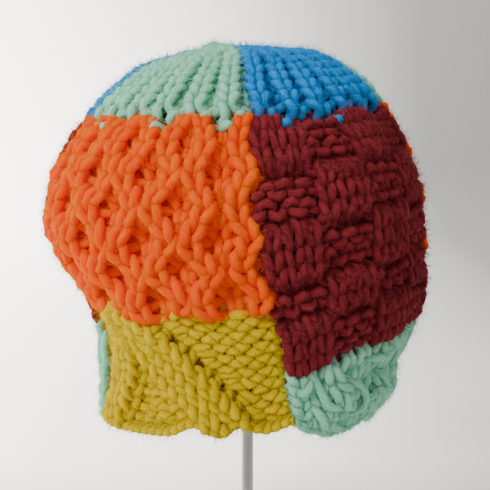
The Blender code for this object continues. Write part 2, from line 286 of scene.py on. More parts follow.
def panel_place(seams, lower, upper, squeezed=False):
    """A function from a place in a panel (across and up from 0 to 1, out in metres) to space."""

    def place(across, up, out):
        inside = min(max(across, 0.0), 1.0)
        if squeezed:
            up = BRIM_REACH * up if up > SQUEEZED else SQUEEZED_END + SQUEEZE * (up - SQUEEZED)
        start, end = lower(inside), upper(inside)
        way = min(max(start + (end - start) * up, LOWEST_WAY), HIGHEST_WAY)
        first, second = (seam_angle(seam, way) for seam in seams)
        if second < first:
            second += tau
        angle = first + (second - first) * across
        way = stretched(angle, way)
        return LEAN @ (wall_point(angle, way) + wall_out(angle, way) * out)

    return place


# %% [markdown]
# ## One stitch
#
# Knitted cloth is one strand that runs along a row in loops, each pulled through the one below. A
# plain stitch shows its two legs as a V, a purl stitch its feet and head as two bumps. A bump
# texture could show that, but this yarn is 4 mm thick, so its loops are real ones. A loop goes
# sideways with sin 2t, up with -cos t and in and out with cos 2t, turned round for purl.

# %% Sizes of the yarn and its loops
WALL = 0.008
YARN_RADIUS = 0.0021
LOOP_NECK = 0.20  # how far the legs draw together at the foot
LOOP_HEIGHT = {1: 0.76, -1: 0.86}  # from a row's middle to its heads, in rows
LOOP_DEPTH = {1: 0.0019, -1: 0.0023}  # of a plain and of a purl stitch
LOOP_ROLL = {1: 0.0006, -1: 0.0}  # how much further out a head lies than a foot
FACE_TURN = 0.18 * tau  # in which a loop turns from plain to purl
HEAD_DIVE, DIVE_START = 0.0050, 0.6  # last heads go behind the panel above
FOOT_DIVE = 0.0030  # first feet go behind the panel below
TUCK, TUCK_THIN = 0.0045, 0.8  # a row's ends turn in at a seam
RISE_RAISED, RISE_SUNK = 1.5, 0.35  # how late a raised and a sunk stitch leaves the ground
SHAKE_OUT = 0.002  # metres in and out for a shake of 1
FULLY_SUNK, FULLY_RAISED = 0.003, 0.0008
SUNK_THIN = 0.35  # a stitch that is stretched behind its neighbours
FRONT_THICK = 0.16  # a stitch that lies in front of them
LEG_SWELL = 0.12  # where its neighbours don't squeeze it
SAMPLES = 14  # points for each stitch
print("a loop of", SAMPLES, "points in yarn", 2000 * YARN_RADIUS, "mm thick")

# %% How a strand strays
SLACK, SLACK_SCALE = 0.0006, 90  # how far, and how often in a metre
THICK_THIN, SPIN_SCALE = 0.22, 130  # how unevenly it is spun


def strayed(point):
    """A point of a path with its slack, and how much thicker the strand is there."""
    point = point + SLACK * noise.noise_vector(point * SLACK_SCALE)
    return point, THICK_THIN * noise.noise(point * SPIN_SCALE)


# %% The path of a row
def blend(pair, plain):
    """Between the values of a purl stitch, at 0, and a plain one, at 1."""
    return pair[1] * plain + pair[-1] * (1 - plain)


def row_path(place, row, rows, stitches, relief, shake, seed, plump):
    """Points along one row. A stitch is (left, width, face, lean, lift), in shares of the panel."""
    points = []
    wobble = random.Random(seed * 1009 + row)
    for i, (left, width, face, lean, lift) in enumerate(stitches):
        before = stitches[max(i - 1, 0)][2]
        after = stitches[min(i + 1, len(stitches) - 1)][2]
        off = [wobble.uniform(-shake, shake) for _ in range(4)]
        for k in range(SAMPLES):
            t = tau * k / SAMPLES
            start, end = (0.5 - 0.5 * min(x / FACE_TURN, 1) for x in (t, tau - t))
            turned = face + (before - face) * start + (after - face) * end
            up_loop = (1 - cos(t)) / 2
            loose = 1 + off[0]
            across = left + width * (t / tau + LOOP_NECK * loose * sin(2 * t))
            across += (lean + off[1] * width) * up_loop
            plain = (turned + 1) / 2
            height = blend(LOOP_HEIGHT, plain)
            up = (row + 0.5 - height * (1 + off[2] * up_loop) * cos(t)) / rows
            depth, roll = blend(LOOP_DEPTH, plain), blend(LOOP_ROLL, plain)
            out = -WALL / 2 - turned * (depth * cos(2 * t) + roll * cos(t))
            rise = sin(t / 2) ** (RISE_RAISED if lift > 0 else RISE_SUNK)
            out += lift * rise + relief(across, up) + off[3] * SHAKE_OUT * up_loop
            out -= HEAD_DIVE * smoothstep(2 * (up - 1) * rows + DIVE_START)
            if row == 0:
                out -= FOOT_DIVE * (1 - up_loop) ** 6
            point, uneven = strayed(place(across, up, out))
            thick = 1 - SUNK_THIN * smoothstep(-lift / FULLY_SUNK) * sin(t / 2)
            thick += FRONT_THICK * smoothstep(lift / FULLY_RAISED) * sin(t / 2)
            thick *= plump * (1 - LEG_SWELL * cos(2 * t) + uneven)
            points.append((point, thick))
    foot = (row + 0.5 - LOOP_HEIGHT[1]) / rows
    first, last = (
        [(place(x, foot, -WALL / 2 - TUCK), TUCK_THIN), (place(x, foot, -WALL / 2 - TUCK / 2), 1.0)]
        for x in (0.0, 1.0)
    )
    return first + points + last[::-1]


# %% [markdown]
# ## Winding the strand
#
# A strand is round wherever it turns. It could be extruded ring by ring, but the Curve to Mesh
# node does that without a twist. Its tree also stores the length along the strand and the
# direction from its middle, for the fibres.

# %% Small helpers for nodes and objects
def feed(node, inputs):
    """Gives each input a value, an output or the first output of a node."""
    for name, value in inputs.items():
        if isinstance(value, bpy.types.Node):
            value = value.outputs[0]
        if isinstance(value, bpy.types.NodeSocket):
            node.id_data.links.new(value, node.inputs[name])
        else:
            node.inputs[name].default_value = value


def add_node(tree, kind, inputs=None, **settings):
    node = tree.nodes.new(kind)
    for name, value in settings.items():
        setattr(node, name, value)
    feed(node, inputs or {})
    return node


def modifier_tree(name, more=()):
    """An empty node tree for a modifier, from one geometry to another."""
    tree = bpy.data.node_groups.new(name, "GeometryNodeTree")
    mesh = ("Geometry", "INPUT", "Geometry"), ("Geometry", "OUTPUT", "Geometry")
    for socket, way, kind in (mesh[0], *more, mesh[1]):
        tree.interface.new_socket(socket, in_out=way, socket_type="NodeSocket" + kind)
    return tree


def add_object(name, data):
    thing = bpy.data.objects.new(name, data)
    bpy.context.scene.collection.objects.link(thing)
    return thing


def made_mesh(name, source, material):
    """A new object of the mesh that a source's modifiers make. The source is removed."""
    graph = bpy.context.evaluated_depsgraph_get()
    mesh = bpy.data.meshes.new_from_object(source.evaluated_get(graph), depsgraph=graph)
    bpy.data.objects.remove(source)
    mesh.name = name
    mesh.materials.clear()
    mesh.materials.append(material)
    print(name, sum(len(face.vertices) - 2 for face in mesh.polygons), "triangles")
    return add_object(name, mesh)


# %% The node tree that winds a strand
def yarn_tree(radius, sides):
    tree = modifier_tree("wind yarn")
    add = partial(add_node, tree)
    store = partial(add, "GeometryNodeStoreNamedAttribute")
    start = add("NodeGroupInput")
    length = add("GeometryNodeSplineParameter").outputs["Length"]
    along = store({"Geometry": start, "Value": length, "Name": "along"})
    circle = add("GeometryNodeCurvePrimitiveCircle", {"Resolution": sides, "Radius": radius})
    where = add("GeometryNodeInputPosition")
    unit = add("ShaderNodeVectorMath", {0: where}, operation="NORMALIZE")
    ring = store({"Geometry": circle, "Value": unit, "Name": "ring"}, data_type="FLOAT_VECTOR")
    strand = {"Curve": along, "Profile Curve": ring, "Fill Caps": True}
    add("NodeGroupOutput", {0: add("GeometryNodeCurveToMesh", strand)})
    return tree


YARN = yarn_tree(YARN_RADIUS, sides=8)


def wind(name, paths, material):
    """Winds yarn along each path, as one mesh object."""
    data = bpy.data.curves.new(name + "_path", "CURVE")
    data.dimensions = "3D"
    for path in paths:
        spline = data.splines.new("POLY")
        spline.points.add(len(path) - 1)
        for point, (place, thickness) in zip(spline.points, path):
            point.co = (*place, 1)
            point.radius = thickness
    guide = add_object(name + "_path", data)
    guide.modifiers.new("yarn", "NODES").node_group = YARN
    piece = made_mesh(name, guide, material)
    piece.data.shade_smooth()
    return piece


# %% [markdown]
# ## Wool
#
# Bulky wool is a loose bundle of crimped fibres with a little twist, and light comes out of it
# soft. Hair could show every fibre, but there would be millions. So the shader draws locks of
# fibres along the strand and scatters light inside.

# %% Colours and an empty material
def linear(hex_colour):
    """An sRGB colour as the linear one that the shader wants."""
    channels = [channel / 255 for channel in bytes.fromhex(hex_colour)]
    straight = [c / 12.92 if c <= 0.04045 else ((c + 0.055) / 1.055) ** 2.4 for c in channels]
    return (*straight, 1)


def start_material(name, sockets):
    """A new material, its shader and its add_node."""
    material = bpy.data.materials.new(name)
    material.use_nodes = True
    shader = material.node_tree.nodes["Principled BSDF"]
    feed(shader, sockets)
    return material, shader, partial(add_node, material.node_tree)


# %% The wool yarn's material
FIBRE_TWIST = 0.022  # metres of strand for one turn of its fibres
LOCK_WIDTH = 0.0004  # of a lock of fibres that the eye can tell apart
LOCK_LENGTH = 0.005
CLOUD_SCALE, CLOUD_SHARE = 90.0, 0.35  # the dye's uneven patches are 11 mm wide
HAT_MIDDLE = (0.0, 0.0, 0.150)
SCATTER, SCATTERED = 0.004, 0.7  # how far light goes inside the wool, and how much of it
PAINTED_FACING_SHADE = 0.28  # painted light and shade: how much lighter a strand is on its outer side, and darker where it turns inwards


def facing_out(add, place, normal):
    """How far a surface faces away from the middle of the beanie, from -1 to 1."""
    from_middle = add("ShaderNodeVectorMath", {0: place, 1: HAT_MIDDLE}, operation="SUBTRACT")
    outward = add("ShaderNodeVectorMath", {0: from_middle}, operation="NORMALIZE")
    facing = add("ShaderNodeVectorMath", {0: outward, 1: normal}, operation="DOT_PRODUCT")
    return facing.outputs["Value"]


def wool(name, dark, middle, light, painted_glow):
    """Carded wool, loosely spun: matt, soft at its edges, with fibres along the strand, and painted
    shade where it turns inwards.
    """
    sockets = {
        "Roughness": 0.9,
        "Sheen Weight": 0.15,
        "Sheen Roughness": 0.5,
        "Sheen Tint": linear(light),
        "Specular IOR Level": 0.06,
        "Subsurface Weight": SCATTERED,
        "Subsurface Radius": (1.0, 1.0, 1.0),
        "Subsurface Scale": SCATTER,
        "Emission Strength": painted_glow,
    }
    material, shader, add = start_material(name, sockets)
    # The painted glow is not sampled as a lamp
    material.cycles.emission_sampling = "NONE"
    ring = add("ShaderNodeAttribute", attribute_name="ring").outputs["Vector"]
    along = add("ShaderNodeAttribute", attribute_name="along").outputs["Fac"]
    turn = add("ShaderNodeMath", {0: along, 1: tau / FIBRE_TWIST}, operation="MULTIPLY")
    twisted = add("ShaderNodeVectorRotate", {"Vector": ring, "Angle": turn}, rotation_type="Z_AXIS")
    wide = {0: twisted, "Scale": YARN_RADIUS / LOCK_WIDTH}
    wide = add("ShaderNodeVectorMath", wide, operation="SCALE")
    far = add("ShaderNodeMath", {0: along, 1: LOCK_LENGTH}, operation="DIVIDE")
    down = add("ShaderNodeCombineXYZ", {"Z": far})
    lock_place = add("ShaderNodeVectorMath", {0: wide, 1: down}, operation="ADD")
    locks = {"Vector": lock_place, "Scale": 1.0, "Detail": 4.0, "Roughness": 0.65}
    locks = add("ShaderNodeTexNoise", locks)
    where = add("ShaderNodeTexCoord").outputs["Object"]
    clouds = add("ShaderNodeTexNoise", {"Vector": where, "Scale": CLOUD_SCALE, "Detail": 2.0})
    both = add("ShaderNodeMath", {0: clouds, 1: CLOUD_SHARE, 2: locks}, operation="MULTIPLY_ADD")
    # Painted shade: faces that turn towards the beanie's middle take the darker shades, faces that
    # turn outwards the lighter ones
    facing = facing_out(add, where, add("ShaderNodeNewGeometry").outputs["Normal"])
    painted_shade = add("ShaderNodeMath", {0: facing, 1: PAINTED_FACING_SHADE, 2: both}, operation="MULTIPLY_ADD")
    shades = add("ShaderNodeValToRGB", {"Fac": painted_shade})
    ramp = shades.color_ramp
    ramp.elements[0].position, ramp.elements[0].color = 0.40, linear(dark)
    ramp.elements[1].color = linear(light)
    ramp.elements.new(0.80).color = linear(middle)
    fibres = add("ShaderNodeBump", {"Height": locks, "Strength": 0.8, "Distance": 0.0010})
    feed(shader, {"Base Color": shades, "Emission Color": shades, "Normal": fibres})
    return material


# %% The five dyes
# The darkest and lightest shades also serve as the wool's painted shade and painted light.
# The bright dyes have a painted glow, which lifts their shaded parts
#  name     dark      middle    light     painted glow
DYES = {
    "mint": ("46725c", "8fdeb9", "a8facf", 0.0),
    "blue": ("14406c", "2480be", "1e9cf4", 0.0),
    "orange": ("ee3600", "ff4800", "ff6c00", 0.11),
    "maroon": ("420c11", "742028", "943036", 0.0),
    "yellow": ("967400", "d4b200", "e8c800", 0.05),
}
WOOLS = {dye: wool(f"{dye}_wool_yarn", *shades) for dye, shades in DYES.items()}
print("dyed:", *WOOLS)


# %% Loose and matted fibres
def fibre_material(name, hex_colour):
    """Single wool fibres: matt, and cloudy, because some lie in the shade of others."""
    material, shader, add = start_material(name, {"Roughness": 1.0, "Specular IOR Level": 0.1})
    where = add("ShaderNodeTexCoord").outputs["Object"]
    clouds = add("ShaderNodeTexNoise", {"Vector": where, "Scale": 300.0})
    shades = add("ShaderNodeValToRGB", {"Fac": clouds})
    bright = linear(hex_colour)
    shades.color_ramp.elements[0].color = (*(0.75 * c for c in bright[:3]), 1)
    shades.color_ramp.elements[1].color = bright
    feed(shader, {"Base Color": shades})
    return material


# Fuzz takes each dye's light shade, which on the strands comes from lighter locks and from the
# painted light on faces turned outwards
FUZZES = {dye: fibre_material(f"{dye}_wool_fuzz", shades[2]) for dye, shades in DYES.items()}
# The sheet behind the loops is painted shade; for the bright dyes it is lighter, painted light that
# stands for what comes through their loose wool
PAINTED_DEPTH_SHADES = dict(mint="4f7c66", blue="1a4a76", orange="e63600", maroon="400c10", yellow="a87c00")
SHADE_SHEETS = {dye: fibre_material(f"{dye}_wool_painted_shade", depth) for dye, depth in PAINTED_DEPTH_SHADES.items()}
print("finishes of loose fibres:", len(FUZZES) + len(SHADE_SHEETS))

# %% [markdown]
# ## The crowns
#
# Each crown panel has six ribs: a wide plain stitch with a narrow purl furrow beside it. One
# table of stitches could be stretched over it, but they would shrink to threads at the top. So in
# the upper rows the furrows go first, and then ribs join until half are left.

# %% Crown rows
CROWN_ROWS = 12
RIBS = 6
FEWER_RIBS, FEWEST_RIBS = 0.66, 0.82  # where a third and then half of them are gone
FURROW_WIDTH, FURROW_NARROWS, FURROWS_END = 0.30, 0.16, 0.6
RIB_LIFT, FURROW_LIFT = 0.0004, -0.0012
RIB_HEIGHT, FURROW_DEPTH, FURROW_SPREAD = 0.0010, 0.0042, 0.15
FURROW_SHIFT = 0.65  # a furrow's middle lies at 0.85 of its rib


def crown_row(row):
    up = (row + 0.5) / CROWN_ROWS
    ribs = RIBS if up < FEWER_RIBS else RIBS * 2 // 3 if up < FEWEST_RIBS else RIBS // 2
    furrow = FURROW_WIDTH - FURROW_NARROWS * up
    stitches = []
    for rib in range(ribs):
        left, width = rib / ribs, 1 / ribs
        if 0 < row and up < FURROWS_END:
            edge = left + width * (1 - furrow)
            stitches.append((left, width * (1 - furrow), 1, 0, RIB_LIFT))
            stitches.append((edge, width * furrow, -1, 0, FURROW_LIFT))
        else:
            stitches.append((left, width, 1, 0, 0))
    return stitches


def crown_relief(across, up):
    from_furrow = (RIBS * across + FURROW_SHIFT) % 1 - 0.5
    groove = exp(-((from_furrow / FURROW_SPREAD) ** 2))
    return (RIB_HEIGHT - FURROW_DEPTH * groove) * (1 - 0.6 * up)


print("stitches in the crown's rows:", [len(crown_row(row)) for row in range(CROWN_ROWS)])

# %% [markdown]
# ## The eyelets under the crowns
#
# Where a crown joins its body, a few loops part and show the crown's yarn behind them. Holes
# could be cut, but nothing is cut in knitting: the last heads lean away, and a strand of the
# crown comes forward there.

# %% Eyelets
EYELETS = {"honeycomb": (0.26, 0.58, 0.90), "basket": (0.165, 0.46)}  # places across a panel
EYELET_PART, EYELET_SPREAD = 0.036, 0.06  # how far, and over what width, the heads part
EYELET_WIDTH = 0.024
STRAND_DOWN = 0.80  # how far below the crown its strand runs, in rows
STRAND_BEHIND, STRAND_FORWARD, STRAND_SWELL = 0.0040, 0.0062, 0.2


def parted(across, eyelets):
    """Where a head lies when it makes way for the eyelets."""
    for eyelet in eyelets:
        away = across - eyelet
        across += copysign(EYELET_PART, away) * exp(-((away / EYELET_SPREAD) ** 2))
    return across


def eyelet_strand(place, eyelets, steps=160):
    """A crown's first strand, which runs behind the body and shows in its eyelets."""
    up = -STRAND_DOWN / CROWN_ROWS
    path = []
    for k in range(steps + 1):
        across = k / steps
        bump = max(exp(-(((across - eyelet) / EYELET_WIDTH) ** 2)) for eyelet in eyelets)
        out = -WALL / 2 - STRAND_BEHIND + STRAND_FORWARD * bump
        path.append((place(across, up, out), 1 + STRAND_SWELL * bump))
    return path


print("a head beside an eyelet leans to", round(parted(0.2, EYELETS["basket"]), 3))

# %% [markdown]
# ## The honeycomb bodies
#
# Pairs of stitches change places on every second row, so raised strands meet and part, with deep
# cells between them. Strands could be laid over a plain ground, but real ones grow out of the
# rows. So each raised stitch leans to where the next one starts, and the one beside it is
# stretched and sunk.

# %% Honeycomb rows
CELLS = 4  # across a panel
COLUMN_WIDTH = 0.31 / CELLS
ZIGZAG = 0.15 / CELLS  # how far a column strays to each side
COLUMN_LIFT, HIDDEN_SINK = 0.0008, 0.0044
BORDER_SHIFT = 0.014  # how much nearer to the seam the last column lies
BORDER_STRAY = 0.5  # and how much less it strays
SECOND_PART = 0.55  # how much less they part at the second row
RIDGE_HEIGHT, CELL_DEPTH = 0.0014, 0.0030


def zigzag(below_crown):
    """How far the columns have parted at a row below the crown."""
    full = 1 - SECOND_PART * exp(-(((below_crown - 2) / 0.9) ** 2))
    return full * cos(pi / 2 * below_crown)


def honeycomb_row(row):
    below_crown = HONEYCOMB_ROWS - row
    stitches, edge = [], 0.0
    for number in range(2 * CELLS):
        side = -1 if number % 2 == 0 else 1
        border = number in (0, 2 * CELLS - 1)
        middle = (number / 2 + 0.25) / CELLS + side * BORDER_SHIFT * border
        stray = side * ZIGZAG * (BORDER_STRAY if border else 1)
        foot = middle + stray * zigzag(below_crown)
        head = middle + stray * zigzag(below_crown - 1)
        if below_crown == 1:
            head = parted(head, EYELETS["honeycomb"])
        left = foot - COLUMN_WIDTH / 2
        stitches.append((edge, left - edge, 1, 0.0, -HIDDEN_SINK))
        stitches.append((left, COLUMN_WIDTH, 1, head - foot, COLUMN_LIFT))
        edge = left + COLUMN_WIDTH
    stitches.append((edge, 1 - edge, 1, 0.0, -HIDDEN_SINK))
    return stitches


def honeycomb_relief(across, up):
    below_crown = (1 - up) * HONEYCOMB_ROWS
    height = cos(tau * CELLS * across) * zigzag(below_crown)
    return (RIDGE_HEIGHT if height > 0 else CELL_DEPTH) * height


print("stitches in a honeycomb row:", len(honeycomb_row(0)))

# %% [markdown]
# ## The basketweave bodies
#
# Blocks of plain and of purl stitches change places every few rows, as if woven. Knitted patches
# could be laid in a check, but the real strand runs on from block to block. So one row turns its
# stitches over where a block ends.

# %% Basketweave rows
BASKET_STITCHES = 13
BASKET_BLOCK = 3  # stitches across a block
BASKET_BLOCK_ROWS = (3, 3, 3, 2, 3)  # rows up the blocks, from the crown down
BASKET_ROWS = sum(BASKET_BLOCK_ROWS)
BLOCK_RELIEF, BLOCK_STEEP = 0.0008, 2.5


def block_at(below_crown):
    """Which block a row lies in, from the crown down, and how far down that block."""
    for number, rows in enumerate(BASKET_BLOCK_ROWS):
        if below_crown < rows:
            break
        below_crown -= rows
    return number, min(below_crown / rows, 1)


def basket_row(row):
    block, _ = block_at(BASKET_ROWS - 1 - row)
    width = 1 / BASKET_STITCHES
    stitches = []
    for i in range(BASKET_STITCHES):
        middle = (i + 0.5) * width
        lean = lift = 0
        if row == BASKET_ROWS - 1:
            lean = parted(middle, EYELETS["basket"]) - middle
            if min(abs(middle - eyelet) for eyelet in EYELETS["basket"]) < width / 2:
                lean, lift = 0, -HIDDEN_SINK
        face = 1 if (i // BASKET_BLOCK + block) % 2 == 0 else -1
        stitches.append((i * width, width, face, lean, lift))
    return stitches


def basket_relief(across, up):
    block, down = block_at((1 - up) * BASKET_ROWS)
    check = sin(pi * across * BASKET_STITCHES / BASKET_BLOCK)
    check *= (-1) ** block * sin(pi * down)
    return BLOCK_RELIEF * min(max(BLOCK_STEEP * check, -1), 1)


print("rows of basketweave:", BASKET_ROWS)

# %% [markdown]
# ## The banded brims
#
# Two bands of plain stitches cross a ground of purl and meet towards the top. They could be laid
# on as ropes, but they are part of each row. So each row reads the bands' edges at its height,
# and its stitches lean as the edges do.

# %% Banded rows
BAND_ROWS = 10
BAND_STITCHES = 13
#  place at the top, drift towards the rim, half the width
BANDS = (0.394, 0.341, 0.122), (0.420, -0.300, 0.095)
BAND_OVERLAP = 0.022  # the first purl stitch runs back behind the leaning band


def band_edges(up):
    """Where the plain ground ends, where the leaning band starts and where it ends."""
    leaning, upright = (top + drift * (1 - up) for top, drift, half in BANDS)
    start, end = upright + BANDS[1][2], leaning - BANDS[0][2]
    if start > end:
        start = end = (start + end) / 2
    return start, end, leaning + BANDS[0][2]


def band_row(row):
    up = (row + 0.5) / BAND_ROWS
    start, end, right = band_edges(up)
    leaning, upright = (-band[1] / BAND_ROWS for band in BANDS)
    width = 1 / BAND_STITCHES
    stitches = []
    upright_band, ground = (0.0, start, 1, 0.0, upright), (start, end, -1, upright, leaning)
    leaning_band = (end, right, 1, leaning, leaning)
    for low, high, face, lean_low, lean_high in (upright_band, ground, leaning_band):
        count = round((high - low) / width)
        for i in range(count):
            wide = (high - low) / count
            lean = lean_low + (lean_high - lean_low) * (i + 0.5) / count
            stitches.append((low + i * wide, wide, face, lean, 0))
    columns = round((1 - right) / width)
    right -= BAND_OVERLAP
    stitches.append((right, 1 - (columns - 1) * width - right, -1, leaning / 2, 0))
    for i in range(columns - 1, 0, -1):
        stitches.append((1 - i * width, width, -1, 0.0, 0))
    return stitches


print("stitches in the banded rows:", [len(band_row(row)) for row in range(BAND_ROWS)])

# %% The bands' relief
GROOVE_DEPTH, GROOVE_WIDTH = 0.0016, 0.012  # beside the leaning band
INNER_GROOVE = 0.6  # how deep those between the bands are, beside it
BAND_HEIGHT, GROUND_DEPTH = 0.0062, 0.0036
BAND_INSET, BAND_SLOPE = 0.04, 0.05  # of a band's side
STITCH_RIDGE = 0.0007


def band_relief(across, up):
    raised = 0
    for top, drift, half in BANDS:
        away = abs(across - top - drift * (1 - up)) - half + BAND_INSET
        raised = max(raised, 1 - smoothstep(away / BAND_SLOPE))
    start, end, right = band_edges(up)
    groove = exp(-(((across - right - GROOVE_WIDTH) / GROOVE_WIDTH) ** 2))
    if end - start > GROOVE_WIDTH:
        for edge in (start + GROOVE_WIDTH, end - GROOVE_WIDTH):
            groove += INNER_GROOVE * exp(-(((across - edge) / GROOVE_WIDTH) ** 2))
    ridges = 0
    if start < across < right:
        count = round(BAND_STITCHES * (right - end))
        ridges = -cos(tau * count * (across - end) / (right - end))
    return -GROUND_DEPTH + BAND_HEIGHT * raised + STITCH_RIDGE * ridges - GROOVE_DEPTH * groove


print("a band rises", round(1000 * (band_relief(0.5, 0.7) - band_relief(0.9, 0.7)), 1), "mm")

# %% [markdown]
# ## The rope brims
#
# The short brims are a fat cable along the rim, whose stitches cross over each other. A rule
# could place them all, but a hand pulled them about. So the ground is knitted by rule, and the
# strands on it are placed one by one.

# %% Rope rows
ROPE_ROWS = 5
ROPE_STITCHES = 9
ROPE_LEANS = (0.0, 0.1, -0.2, 0.2, 0.3, 0.2, 0.0, -0.2, 0.1)  # of each stitch, in stitch widths
ROPE_GROOVE = ((0.56, 0.62), (0.51, 0.44), (0.52, 0.24), (0.60, 0.07))  # between two turns
ROPE_GROOVE_DEPTH, ROPE_GROOVE_WIDTH = 0.0030, 0.035
ROPE_LUMP = 0.0014
BRIM_SHAPE = 0.4  # a short brim is this high for a width of 1


def rope_row(row):
    width = 1 / ROPE_STITCHES
    turn = 1 if row % 2 else -1
    return [(i * width, width, 1, turn * lean * width, 0) for i, lean in enumerate(ROPE_LEANS)]


def rope_relief(across, up):
    near = min(hypot(across - x, BRIM_SHAPE * (up - y)) for x, y in ROPE_GROOVE)
    lump = abs(sin(pi * (3 * across - 0.5 * up))) - 0.5
    groove = exp(-((near / ROPE_GROOVE_WIDTH) ** 2))
    return ROPE_LUMP * lump - ROPE_GROOVE_DEPTH * groove


print("stitches in a rope row:", len(rope_row(0)))

# %% The strands that cross over
# Each is a run of places across and up the brim
ROPE_STRANDS = (
    (
        (0.33, 0.70), (0.39, 0.62), (0.44, 0.51), (0.455, 0.41),
        (0.44, 0.32), (0.40, 0.26), (0.34, 0.22),
    ),
    (
        (0.11, 1.02), (0.13, 0.89), (0.16, 0.69), (0.175, 0.55),
        (0.19, 0.46), (0.23, 0.43), (0.28, 0.41),
    ),
    ((0.21, 0.98), (0.21, 0.85), (0.225, 0.70)),
    ((0.24, 0.95), (0.27, 0.82), (0.30, 0.70)),
    ((0.30, 0.58), (0.31, 0.46), (0.31, 0.33)),
    ((0.25, 0.74), (0.30, 0.65), (0.36, 0.55)),
    ((0.22, 0.70), (0.24, 0.61), (0.26, 0.51)),
    ((0.13, 0.84), (0.08, 0.78), (0.03, 0.69)),
    ((0.11, 0.46), (0.14, 0.31), (0.17, 0.20), (0.21, 0.10)),
    ((0.21, 0.23), (0.29, 0.13), (0.37, 0.06)),
    ((0.58, 0.62), (0.64, 0.50), (0.72, 0.36)),
    ((0.57, 0.42), (0.66, 0.32), (0.78, 0.22)),
    ((0.46, 0.82), (0.53, 0.80), (0.60, 0.77)),
    ((0.60, 0.99), (0.65, 0.90), (0.69, 0.80)),
    ((0.76, 0.95), (0.80, 0.75), (0.82, 0.55)),
    ((0.92, 0.95), (0.89, 0.75), (0.86, 0.58)),
)
ROPE_LIFT = 0.0016  # how far they lie above the ground
ROPE_ROOT = 0.0052  # how deep in it they start and end
ROPE_THICK = 1.22


def curve_through(points, steps):
    """A smooth run of points through a few."""
    path = []
    for i in range(len(points) - 1):
        before, start = Vector(points[max(i - 1, 0)]), Vector(points[i])
        end, after = Vector(points[i + 1]), Vector(points[min(i + 2, len(points) - 1)])
        slopes = (end - before) / 2, (after - start) / 2
        path += [between(k / steps, start, slopes[0], end, slopes[1]) for k in range(steps)]
    return path + [Vector(points[-1])]


def rope_strands(place):
    """The strands that cross over, each out of the ground and back into it."""
    paths = []
    for points in ROPE_STRANDS:
        run = curve_through(points, 7)
        path = []
        for k, (across, up) in enumerate(run):
            over = sin(pi * (k / (len(run) - 1))) ** 0.4
            out = -ROPE_ROOT + (ROPE_LIFT + ROPE_ROOT - YARN_RADIUS) * over
            point, uneven = strayed(place(across, up, out + rope_relief(across, up)))
            path.append((point, ROPE_THICK + uneven))
        paths.append(path)
    return paths


print("strands that cross over:", len(ROPE_STRANDS))

# %% [markdown]
# ## The matted fibres between the loops, in painted shade
#
# Bulky wool felts a little, so no light falls straight through between the loops. More loops
# could fill the gaps, at the cost of many triangles. One thin, matt sheet behind them does it
# too, and its dark colour is painted shade of the loops that would lie there.

# %% The backing
BACKING_DEPTH, BACKING_THICK = 0.0046, 0.0006
BACKING_SPREAD = 1.04  # it runs a little way under both neighbours
BACKING_TUCK = 0.0010  # how far its sides turn in there


def backing(place, relief, across=32, up=24):
    """A sheet that follows the panel, as a bmesh."""
    sheet = bmesh.new()
    bmesh.ops.create_grid(sheet, x_segments=across, y_segments=up, size=0.5)
    made = bmesh.ops.extrude_face_region(sheet, geom=sheet.faces[:])
    for item in made["geom"]:
        if isinstance(item, bmesh.types.BMVert):
            item.co.z = 1
    for vertex in sheet.verts:
        x, y, side = BACKING_SPREAD * vertex.co.x + 0.5, vertex.co.y + 0.5, vertex.co.z
        depth = -WALL / 2 - BACKING_DEPTH + BACKING_THICK * side + relief(x, y)
        depth -= BACKING_TUCK * smoothstep(100 * abs(vertex.co.x) - 48)
        vertex.co = place(x, y, depth)
    bmesh.ops.recalc_face_normals(sheet, faces=sheet.faces[:])
    return sheet


# %% [markdown]
# ## The hem
#
# A cast-on edge is two strands twisted round each other. The lowest loops could be the edge, but
# they would leave it ragged. So two paths of opposite phase make the twist, one turn to a stitch.

# %% The hem
HEM_DEPTH, HEM_TURN = 0.0032, 0.0018  # its middle's place, and each strand's swing
HEM_RISE = 0.24  # how far each strand goes up and down, in rows
HEM_DROP = 0.046  # below the first row, in shares of the brim
HEM_THICK = 1.12
HEM_SAMPLES = 8  # points for each turn


def hem(place, rows, turns):
    paths = []
    for phase in (0, pi):
        path = []
        for k in range(turns * HEM_SAMPLES + 1):
            turn = tau * k / HEM_SAMPLES + phase
            out = -HEM_DEPTH + HEM_TURN * cos(turn)
            across = k / (turns * HEM_SAMPLES)
            up = (0.05 + HEM_RISE * sin(turn)) / rows - HEM_DROP
            path.append((place(across, up, out), HEM_THICK))
        paths.append(path)
    return paths


# %% [markdown]
# ## Fuzz
#
# Fibre ends stand out of the wool as a thin halo. Hair particles could show them, but would not
# reach the exported model. So a node tree scatters thin cones over the strands, and tilts, spins
# and bends them.

# %% The node tree that grows fuzz
FUZZ_FACING = 0.45  # they grow where the strand faces outwards more
FUZZ_DENSITY = 420_000.0  # fibres for each square metre of strand
FUZZ_WIDTH = 0.00017  # real fibres are ten times thinner, and ten times as many
FUZZ_LENGTH = 0.0037
FUZZ_TILTS = 0.20, 1.20  # radians
FUZZ_SIZES = 0.5, 1.4
FUZZ_BEND, FUZZ_BEND_SCALE = 1.6, 260.0


